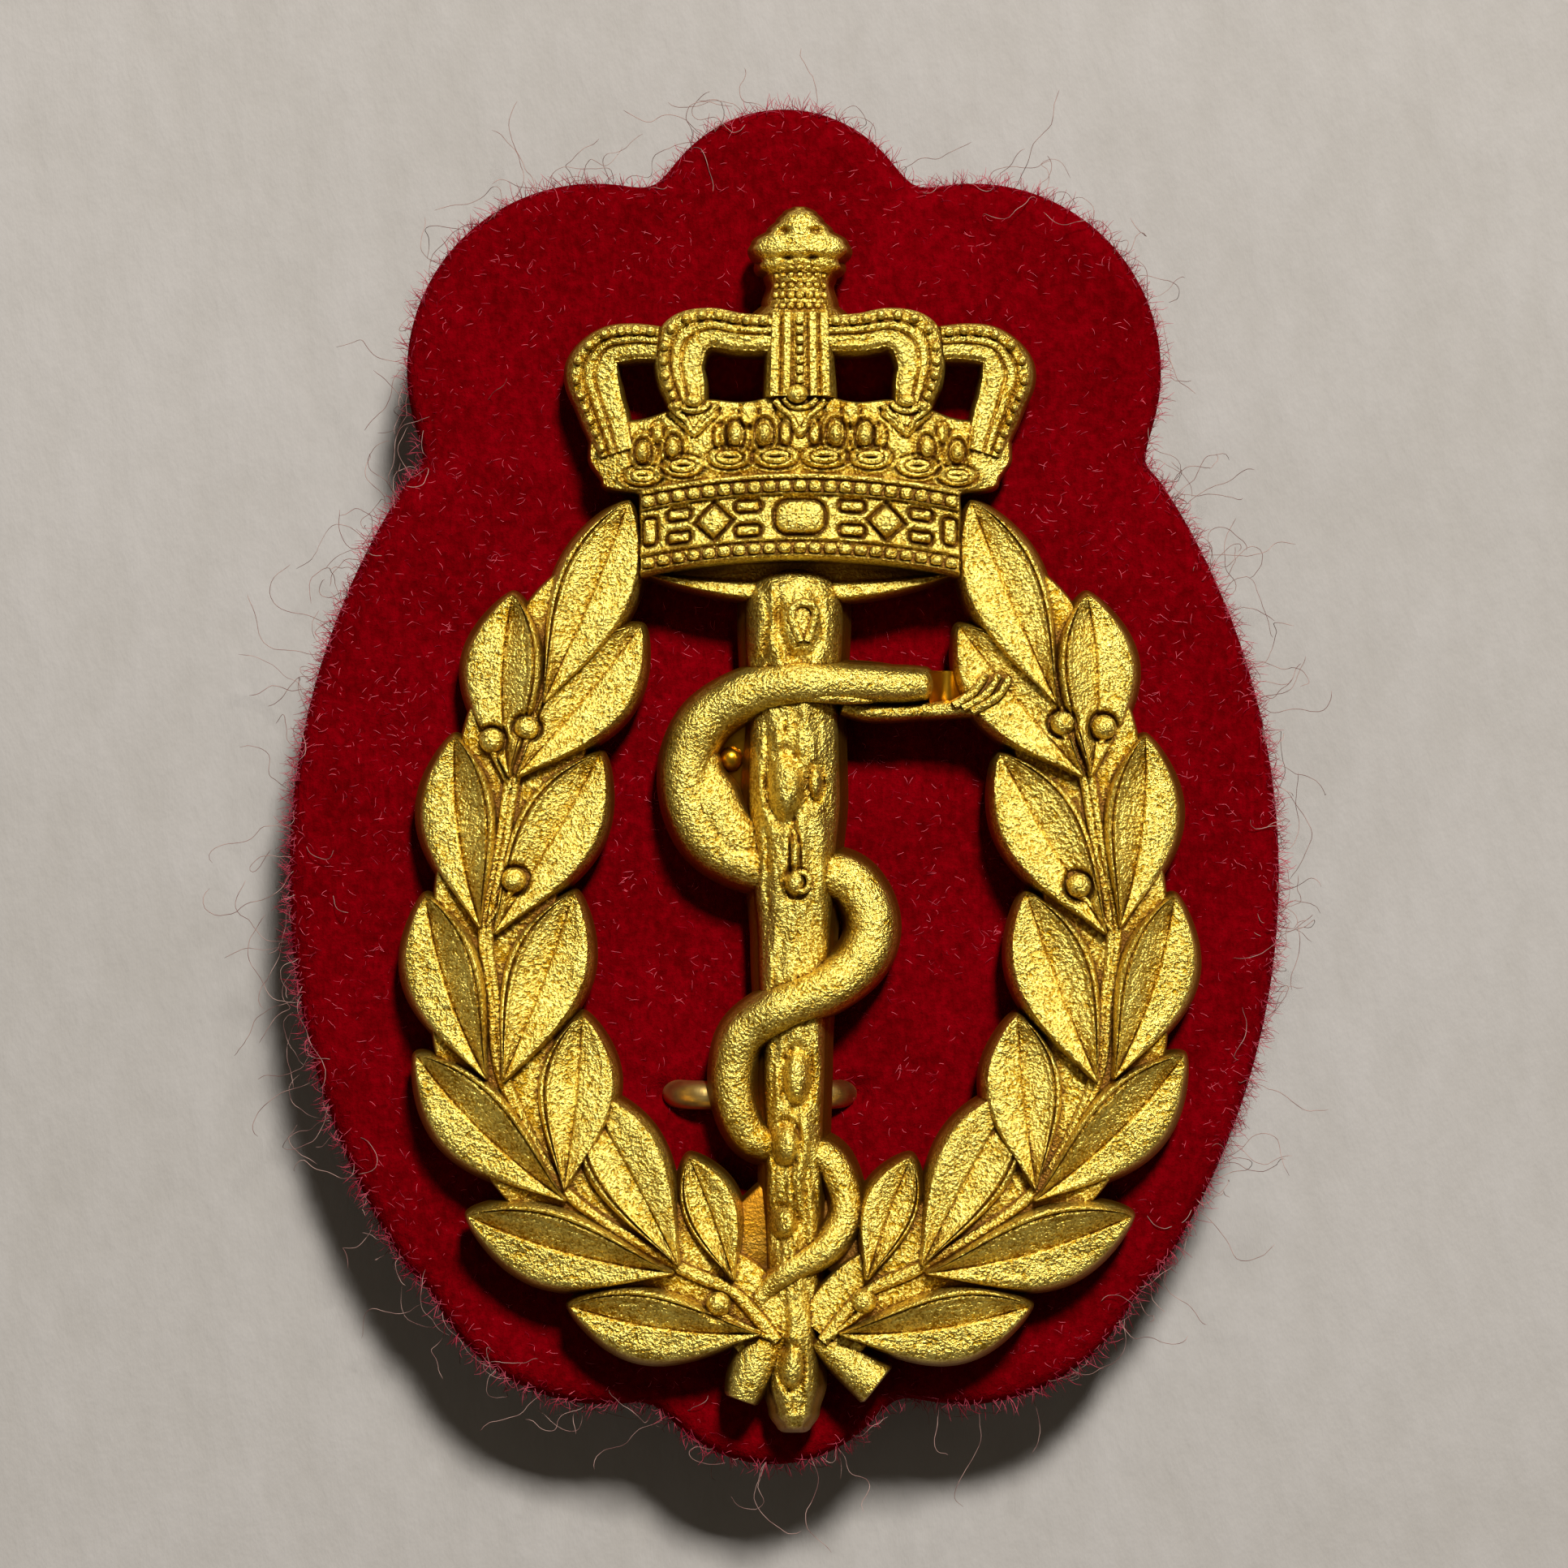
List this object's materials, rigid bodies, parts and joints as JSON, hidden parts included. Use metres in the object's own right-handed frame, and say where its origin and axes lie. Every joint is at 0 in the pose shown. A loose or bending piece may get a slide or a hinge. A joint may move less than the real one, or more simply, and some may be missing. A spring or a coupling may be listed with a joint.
{
  "type": "cap badge",
  "caption": "Gilt cap badge, crown above a staff and serpent in a laurel wreath, on a lobed felt backing held by wire loops and a split pin.",
  "frame": {"origin": "On the surface that the wire loops rest on, under the middle of the felt's outline.", "axes": "+Z out of the badge's face, +Y towards the crown, +X to the right as the face is looked at."},
  "size_m": [0.0346, 0.0474, 0.0092],
  "materials": {
    "matt_gilt": "matt gilding with a fine grit-blasted grain, rubbed bright on the high points",
    "polished_gilt": "smooth bright gilding",
    "brass_wire": "drawn brass wire, slightly dulled",
    "wool_felt": "crimson pressed wool felt with loose fibres at its cut edge"
  },
  "bodies": {
    "badge": {"felt_backing": "wool_felt", "loop_web": "polished_gilt", "jaw_web": "polished_gilt", "upper_loop": "brass_wire", "lower_loop": "brass_wire", "staff": "matt_gilt", "staff_knots": "matt_gilt", "serpent": "matt_gilt", "serpent_jaw": "matt_gilt", "serpent_tongue": "matt_gilt", "crown_lining": "matt_gilt", "crown_circlet": "matt_gilt", "circlet_beads": "matt_gilt", "circlet_jewels": "matt_gilt", "crown_band": "matt_gilt", "crown_fleurons": "matt_gilt", "band_pearls": "matt_gilt", "band_scrolls": "matt_gilt", "centre_arch": "matt_gilt", "arch_pearls": "matt_gilt", "finial_neck": "matt_gilt", "crown_finial": "matt_gilt", "left_branch": "matt_gilt", "left_berries": "matt_gilt", "left_inner_arch": "matt_gilt", "left_outer_arch": "matt_gilt", "left_sprig_1": "matt_gilt", "left_sprig_2": "matt_gilt", "left_sprig_3": "matt_gilt", "left_sprig_4": "matt_gilt", "left_sprig_5": "matt_gilt", "left_sprig_6": "matt_gilt", "right_branch": "matt_gilt", "right_berries": "matt_gilt", "right_inner_arch": "matt_gilt", "right_outer_arch": "matt_gilt", "right_sprig_1": "matt_gilt", "right_sprig_2": "matt_gilt", "right_sprig_3": "matt_gilt", "right_sprig_4": "matt_gilt", "right_sprig_5": "matt_gilt", "right_sprig_6": "matt_gilt"},
    "split_pin": {"split_pin": "brass_wire"}
  },
  "joints": [
    {"name": "pin_draw", "type": "slide", "parent": "badge", "child": "split_pin", "axis": [0, 1, 0], "range_m": [0, 0.032]}
  ]
}
